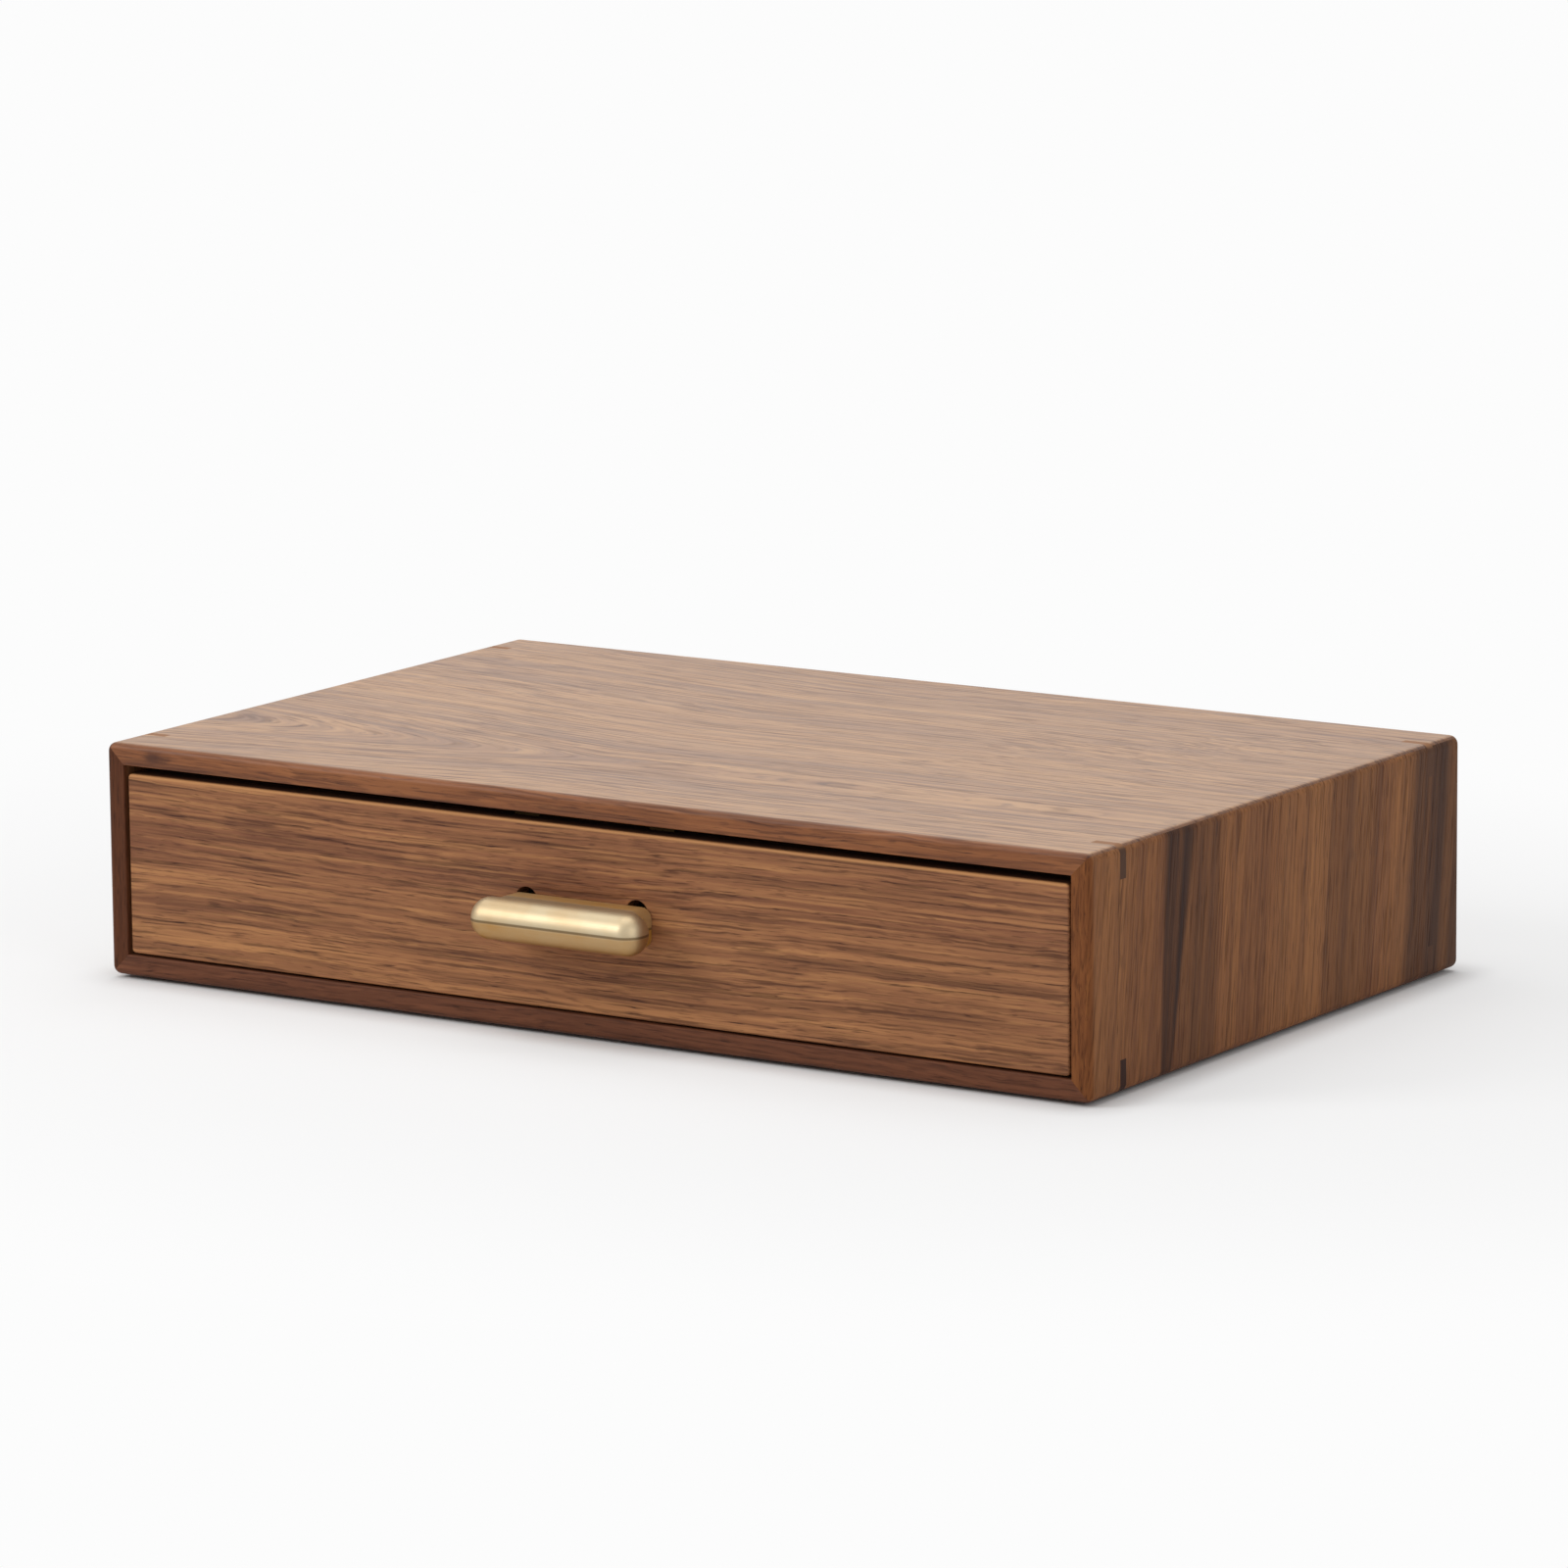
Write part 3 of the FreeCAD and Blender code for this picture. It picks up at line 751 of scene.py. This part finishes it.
class ScrewTree(Nodes):
    """A node tree that sets slotted countersunk screws on points, each turned its own way."""

    inputs: ClassVar[dict[str, str]] = {
        "Geometry": "NodeSocketGeometry", "Head": "NodeSocketFloat", "Shank": "NodeSocketFloat",
        "Length": "NodeSocketFloat", "Slot": "NodeSocketVector", "Aim": "NodeSocketVector",
        "Seed": "NodeSocketInt", "Finish": "NodeSocketMaterial"}
    head_sides: ClassVar[int] = 40
    shank_sides: ClassVar[int] = 24
    # The shank starts inside the head and is turned a little, so that no edges of the two meet.
    tip_share: ClassVar[float] = 0.9
    shank_start: ClassVar[float] = 0.5
    shank_turn: ClassVar[float] = 0.0262

    def __init__(self) -> None:
        """Build the tree."""
        super().__init__(bpy.data.node_groups.new("slotted_screws", "GeometryNodeTree"))
        face = self.tree.interface
        for name, kind in self.inputs.items():
            face.new_socket(name, in_out="INPUT", socket_type=kind)
        face.new_socket("Geometry", in_out="OUTPUT", socket_type="NodeSocketGeometry")
        source = self.tree.nodes.new("NodeGroupInput")
        given = {name: Wire(self, source.outputs[name]) for name in self.inputs}
        screw = self._screw(given["Head"], given["Shank"], given["Length"], given["Slot"])
        chance = self.add("FunctionNodeRandomValue", {2: 0.0, 3: math.pi, "Seed": given["Seed"]}, 1,
                          data_type="FLOAT")
        spread = self.add("GeometryNodeInstanceOnPoints", {
            "Points": given["Geometry"], "Instance": screw, "Rotation": self.join(0.0, 0.0, chance)})
        aimed = self.add("GeometryNodeTransform", {"Geometry": spread, "Rotation": given["Aim"]})
        real = self.add("GeometryNodeRealizeInstances", {"Geometry": aimed})
        dressed = self.add("GeometryNodeSetMaterial", {"Geometry": real, "Material": given["Finish"]})
        self.end("NodeGroupOutput", "Geometry", dressed)

    def _screw(self, head: Wire, shank: Wire, length: Wire, slot: Wire) -> Wire:
        """One screw that points along +Z, with its head's flat at the origin.

        Args:
            head: the head's radius.
            shank: the shank's radius.
            length: the whole length.
            slot: the size of the block that cuts the slot.

        Returns:
            The screw's mesh.
        """
        sink = head - shank
        start = sink * self.shank_start
        long = length - start
        cone = self.add("GeometryNodeMeshCone", {
            "Vertices": self.head_sides, "Radius Bottom": head, "Radius Top": shank * self.tip_share,
            "Depth": sink}, "Mesh")
        rod = self.add("GeometryNodeMeshCylinder", {
            "Vertices": self.shank_sides, "Radius": shank, "Depth": long}, "Mesh")
        rod = self.add("GeometryNodeTransform", {
            "Geometry": rod, "Translation": self.join(0.0, 0.0, long * 0.5 + start),
            "Rotation": (0.0, 0.0, self.shank_turn)})
        solid = self.add("GeometryNodeMeshBoolean", {"Mesh 2": [cone, rod]}, "Mesh",
                         operation="UNION", solver="EXACT")
        block = self.add("GeometryNodeMeshCube", {"Size": slot}, "Mesh")
        return self.add("GeometryNodeMeshBoolean", {"Mesh 1": solid, "Mesh 2": block}, "Mesh",
                        operation="DIFFERENCE", solver="EXACT")

    def mesh(self, name: str, points: Sequence[Vector], **values: Any) -> bpy.types.Mesh:
        """Run the tree on points.

        Args:
            name: the new mesh's name.
            points: where the heads' flats lie, with the screws pointing along +Z.
            values: the tree's named inputs.

        Returns:
            A plain mesh of all the screws.
        """
        cloud = bpy.data.meshes.new(f"{name}_points")
        cloud.from_pydata([tuple(point) for point in points], [], [])
        holder = bpy.data.objects.new(f"{name}_points", cloud)
        bpy.context.collection.objects.link(holder)
        modifier = holder.modifiers.new("screws", "NODES")
        modifier.node_group = self.tree
        for socket in self.tree.interface.items_tree:
            if socket.name in values:
                modifier[socket.identifier] = values[socket.name]
        final = holder.evaluated_get(bpy.context.evaluated_depsgraph_get())
        made = bpy.data.meshes.new_from_object(final)
        made.name = name
        bpy.data.objects.remove(holder)
        return made


@dataclass
class ScrewSet:
    """The slotted screws that stand for one CAD node's plain ones.

    across and up place them in the node's box, from 0 at its left or foot to 1 at its right or top. The
    block that cuts the slot is sized by shares of the head's radius and, for its height, of the head's.
    """

    node: str
    body: str
    aim: Aim
    size: ScrewSize
    across: tuple[float, ...] = (0.0, 1.0)
    up: tuple[float, ...] = (0.5,)
    seed: int = 1

    slot_width: ClassVar[float] = 0.34
    slot_length: ClassVar[float] = 2.4
    slot_height: ClassVar[float] = 0.9

    def build(self, tree: ScrewTree, finish: bpy.types.Material) -> None:
        """Make the set and let it ride on its body.

        Args:
            tree: the tree that makes screws.
            finish: their material.
        """
        low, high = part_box(self.node)
        head, shank = self.size.value
        turn = Euler(self.aim.value).to_matrix()
        points = [turn.transposed() @ seat for seat in self._seats(low, high, head)]
        length = high.z - low.z if self.aim is Aim.UP else high.y - low.y
        slot = (head * self.slot_width, head * self.slot_length, (head - shank) * self.slot_height)
        made = tree.mesh(f"{self.node}_slotted", points, Head=head, Shank=shank, Length=length, Slot=slot,
                         Aim=self.aim.value, Seed=self.seed, Finish=finish)
        piece = bpy.data.objects.new(made.name, made)
        bpy.context.collection.objects.link(piece)
        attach(piece, self.body)
        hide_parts(self.node)
        LOG.info("%s: %d screws", piece.name, len(points))

    def _seats(self, low: Vector, high: Vector, head: float) -> list[Vector]:
        """Where the middles of the heads' flats lie.

        Args:
            low: the lower corner of the CAD screws' box.
            high: its upper corner.
            head: the heads' radius.

        Returns:
            One place for each screw.
        """
        columns = [low.x + head + share * (high.x - low.x - 2 * head) for share in self.across]
        if self.aim is Aim.UP:
            return [Vector((x, (low.y + high.y) / 2, low.z)) for x in columns]
        y = high.y if self.aim is Aim.FORWARD else low.y
        rows = [low.z + head + share * (high.z - low.z - 2 * head) for share in self.up]
        return [Vector((x, y, z)) for x in columns for z in rows]


@dataclass
class Fixings:
    """Every screw in the box."""

    sets: tuple[ScrewSet, ...] = (
        ScrewSet("base_screws", "drawer", Aim.UP, ScrewSize.SMALL, (0.0, 0.5, 1.0), seed=4),
        ScrewSet("lining_screws", "drawer", Aim.FORWARD, ScrewSize.SMALL, up=(0.0, 1.0), seed=7),
        ScrewSet("strike_screws", "case", Aim.UP, ScrewSize.SMALL, seed=2),
        ScrewSet("stop_button_screw", "drawer", Aim.BACK, ScrewSize.LARGE, (0.5,), seed=5),
        ScrewSet("pull_screws", "pull", Aim.FORWARD, ScrewSize.LARGE, seed=9),
    )

    def build(self) -> None:
        """Set out the screws."""
        finish = Brass("screw_brass", Along.X, linear(196, 170, 124), linear(158, 126, 80)).build()
        tree = ScrewTree()
        for screws in self.sets:
            screws.build(tree, finish)


@dataclass
class Case:
    """The mitred walnut case and what is glued or screwed into it.

    edge_depth and end_depth are how far the painted shade on the boards' fronts and the tint of the top's
    ends reach in.
    """

    edge_depth: float = 0.0015
    end_depth: float = 0.0019
    keys: tuple[str, ...] = ("top_left_keys", "top_right_keys", "bottom_left_keys", "bottom_right_keys")
    slips: tuple[str, ...] = ("left_kicker", "right_kicker", "left_rear_stop", "right_rear_stop",
                              "stop_strip")

    def dress(self) -> None:
        """Give every piece of the case its finish."""
        low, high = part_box("case_top")
        # Each board's edge colour darkens its front as painted shade.
        edge_at = low.y + self.edge_depth
        dress(["case_top"], Walnut(
            "top_walnut", Along.X,
            linear(202, 156, 106), linear(168, 120, 80), linear(144, 97, 64), linear(78, 46, 31),
            shift=(0.13, 0.02, 0.31), streaks=0.55, lines=0.85, fibre=0.55, fibre_length=0.03,
            cathedral=Cathedral(slope=0.15, tip=-0.03, axis=-0.05),
            knot=Knot(along=-0.143, up=0.0640, radius=0.0024),
            edge=(0.60, 0.40, 0.29), edge_at=edge_at,
            ends=(0.44, 0.33, 0.25), ends_at=CAD_BOX[1][0] - self.end_depth,
            roughness=0.42, shine=0.3, coat=0.38))
        dress(["case_bottom"], Walnut(
            "bottom_walnut", Along.X,
            linear(134, 84, 58), linear(104, 62, 42), linear(86, 49, 34), linear(44, 24, 17),
            shift=(0.41, 0.17, 0.07), fibre=0.4, shine=0.15))
        dress(["case_right_side"], Walnut(
            "right_side_walnut", Along.Z,
            linear(170, 116, 68), linear(146, 96, 58), linear(109, 64, 40), linear(48, 26, 17),
            shift=(0.02, 0.047, 0.2), bend=0.0012, streaks=0.34, fibre=0.38, fibre_length=0.018, lean=-0.12,
            stripes=(Stripe(-0.062, 0.0064, 0.92, 1.0), Stripe(-0.048, 0.013, 0.38),
                     Stripe(0.034, 0.015, 0.30), Stripe(0.088, 0.026, 0.72)),
            edge=(0.80, 0.68, 0.60), edge_at=edge_at, shine=0.10))
        dress(["case_left_side"], Walnut(
            "left_side_walnut", Along.Z,
            linear(152, 104, 66), linear(128, 84, 54), linear(100, 62, 42), linear(46, 29, 23),
            shift=(0.5, 0.21, 0.4), bend=0.0015, streaks=0.26, lines=0.32, fibre=0.36, fibre_length=0.014,
            lean=0.06, stripes=(Stripe(-0.03, 0.012, 0.6), Stripe(0.055, 0.02, 0.4)),
            edge=(0.46, 0.35, 0.33), edge_at=edge_at, shine=0.12))
        dress(["case_back"], Walnut(
            "back_walnut", Along.X,
            linear(158, 110, 74), linear(128, 86, 58), linear(106, 68, 46), linear(56, 36, 27),
            shift=(0.9, 0.4, 0.11), bend=0.004, fibre=0.4))
        dress(self.keys, Key(
            "key_wood", linear(50, 27, 18), linear(100, 70, 50), linear(88, 57, 38), linear(158, 112, 76),
            top_at=high.z))
        dress(self.slips, PaleWood("slip_maple", Along.X, linear(224, 196, 156), linear(196, 160, 116)))
        dress(["strike_plate"], Brass("strike_brass", Along.X, *DARK_BRASS, 0.5))
        dress(["left_glide", "right_glide"], Plain("glide_nylon", linear(226, 222, 212), 0.5))
        dress(["base_pad"], Plain("pad_rubber", linear(40, 34, 30), 0.85, mottle=0.5))


@dataclass
class Drawer:
    """The drawer box, its face and the cover over the lock.

    edge_depth is how far in the face still counts as its front, and shade_depth is how far down the painted
    shade on its top reaches.
    """

    edge_depth: float = 0.0008
    shade_depth: float = 0.0001
    sides: tuple[str, ...] = ("drawer_left_side", "drawer_right_side")

    def dress(self) -> None:
        """Give every piece of the drawer its finish."""
        low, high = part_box("drawer_front")
        dress(["drawer_front"], Walnut(
            "face_walnut", Along.X,
            linear(196, 140, 89), linear(150, 99, 67), linear(132, 82, 59), linear(58, 31, 22),
            shift=(0.3, 0.013, 0.05), bend=0.0035, streaks=0.38, lines=0.80, fibre=0.58, fibre_length=0.046,
            edge_at=low.y + self.edge_depth, shade_above=high.z - self.shade_depth,
            roughness=0.50, shine=0.18, relief=0.9))
        dress(["front_lining"], Walnut(
            "lining_walnut", Along.X,
            linear(160, 114, 78), linear(134, 92, 62), linear(112, 74, 50), linear(66, 42, 30),
            shift=(0.7, 0.5, 0.2)))
        dress(self.sides, PaleWood("side_maple", Along.Y, *MAPLE))
        dress(["drawer_back"], PaleWood("back_maple", Along.X, *MAPLE))
        dress(["drawer_bottom"], PaleWood(
            "bottom_birch", Along.Y, linear(226, 202, 166), linear(206, 174, 132)))
        dress(["stop_button"], Brass("button_brass", Along.Z, linear(200, 176, 132), linear(158, 126, 80)))
        dress(["hold_magnets"], Plain("nickel", NICKEL, 0.28, 1.0))


@dataclass
class Pull:
    """The brass pull and the lock plate that it carries.

    bar_depth is how far back the bar's front goes before the neck's painted shade starts.
    """

    bar_depth: float = 0.0095

    def dress(self) -> None:
        """Give the pull and its inner pieces their finish."""
        low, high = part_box("pull_bar")
        dress(["pull_bar"], BarBrass(
            "bar_brass", Along.X, linear(190, 176, 147), linear(176, 126, 54), 0.41,
            axis=(low.z + high.z) / 2, neck=low.y + self.bar_depth))
        dress(["pull_bushes"], Brass("bush_brass", Along.X, linear(196, 172, 130), linear(160, 132, 92)))
        # The lock plate's tongues show in the gap over the drawer; its dark brass is painted shade there.
        dress(["lock_plate"], Brass("plate_brass", Along.X, *DARK_BRASS, 0.5))
        dress(["plate_magnet"], Plain("plate_nickel", NICKEL, 0.28, 1.0))


@dataclass(frozen=True)
class Lamp:
    """A square soft lamp."""

    name: str
    place: Point
    size: float
    watts: float

    def build(self, target: Vector) -> None:
        """Hang the lamp.

        Args:
            target: the point that it faces.
        """
        lamp = bpy.data.lights.new(self.name, "AREA")
        lamp.shape = "SQUARE"
        lamp.size = self.size
        lamp.energy = self.watts
        holder = bpy.data.objects.new(self.name, lamp)
        holder.location = self.place
        holder.rotation_euler = (target - Vector(self.place)).to_track_quat("-Z", "Y").to_euler()
        bpy.context.collection.objects.link(holder)


@dataclass
class Studio:
    """The floor, the light and the camera at the photograph's angle.

    Angles are in degrees, the sensor is in millimetres, and lengths that aren't in pixels are in metres.
    haze is how much of the floor's white shows beside the box, white is the level that the camera sees, and
    ambient is how strongly the surround lights the box.
    """

    azimuth: float = 33.16
    elevation: float = 10.7
    roll: float = -0.515
    distance: float = 2.24
    target: Point = (0.00056, 0.0, 0.05415)
    focal_pixels: float = 8196.0
    frame_pixels: float = 1600.0
    sensor: float = 36.0
    sight: float = 100.0
    floor_half: float = 4.0
    floor_tint: Colour = (0.90, 0.90, 0.90)
    foot_inset: float = 0.002
    foot_fade: float = 0.016
    shadow_reach: float = 0.38
    shadow_squash: float = 0.62
    haze: float = 0.52
    white: float = 0.974
    ambient: float = 0.45
    lamps: tuple[Lamp, ...] = (
        Lamp("top_light", (-0.25, 0.25, 1.5), 1.5, 11.0),
        Lamp("left_light", (-1.1, -1.2, 1.0), 0.7, 11.0),
        Lamp("right_light", (1.6, -0.7, 0.8), 1.0, 4.3),
    )

    def floor(self) -> None:
        """A pale floor that shows white to the camera and takes the shadow."""
        mesh = bpy.data.meshes.new("floor")
        half = self.floor_half
        corners = [(-half, -half, 0), (half, -half, 0), (half, half, 0), (-half, half, 0)]
        mesh.from_pydata(corners, [], [(0, 1, 2, 3)])
        piece = bpy.data.objects.new("floor", mesh)
        bpy.context.collection.objects.link(piece)
        mesh.materials.append(self._floor_finish())

    def _floor_finish(self) -> bpy.types.Material:
        """The floor's material: a light haze over the shadow beside the box, and white farther off.

        Returns:
            The finished material.
        """
        s = Shader("floor_white")
        x, y, _ = s.parts(s.place())
        foot = CAD_BOX[1]
        past_x = (abs(x) - (foot[0] - self.foot_inset)).at_least(0.0)
        past_y = (abs(y) - (foot[1] - self.foot_inset)).at_least(0.0)
        beside = (past_x * past_x + past_y * past_y) ** 0.5
        away = (x * x * self.shadow_squash + y * y) ** 0.5
        clear = beside.span(0.0, self.foot_fade) * self.haze
        clear = clear + away.span(self.shadow_reach * 0.5, self.shadow_reach) * (1.0 - self.haze)
        s.surface(None, 0.0, 0.0, Base_Color=self.floor_tint, Roughness=0.9, Specular_IOR_Level=0.0)
        s.over(s.seen() * clear, self.white)
        return s.material

    def light(self) -> None:
        """Soft lamps and a white surround."""
        for lamp in self.lamps:
            lamp.build(Vector(self.target))
        world = bpy.data.worlds.new("surround")
        bpy.context.scene.world = world
        world.use_nodes = True
        level = self.ambient + Nodes(world.node_tree).seen() * (self.white - self.ambient)
        back = world.node_tree.nodes["Background"]
        back.inputs["Color"].default_value = (*WHITE, 1.0)
        world.node_tree.links.new(level.socket, back.inputs["Strength"])

    def camera(self) -> None:
        """The camera that was fitted to the case's corners."""
        lens = bpy.data.cameras.new("camera")
        lens.sensor_width = lens.sensor_height = self.sensor
        lens.lens = self.focal_pixels / self.frame_pixels * self.sensor
        lens.clip_end = self.sight
        holder = bpy.data.objects.new("camera", lens)
        around, up = math.radians(self.azimuth), math.radians(self.elevation)
        back = Vector((math.sin(around) * math.cos(up), -math.cos(around) * math.cos(up), math.sin(up)))
        turn = back.to_track_quat("Z", "Y").to_matrix() @ Matrix.Rotation(math.radians(self.roll), 3, "Z")
        place = Matrix.Translation(Vector(self.target) + back * self.distance)
        holder.matrix_world = place @ turn.to_4x4()
        bpy.context.collection.objects.link(holder)
        bpy.context.scene.camera = holder


def main() -> None:
    """Dress the box and set up the studio."""
    logging.basicConfig(level=logging.INFO, format="%(name)s: %(message)s")
    Case().dress()
    Drawer().dress()
    Pull().dress()
    Fixings().build()
    studio = Studio()
    studio.floor()
    studio.light()
    studio.camera()
    bpy.context.scene.view_settings.view_transform = "Standard"


if __name__ == "__main__":
    main()
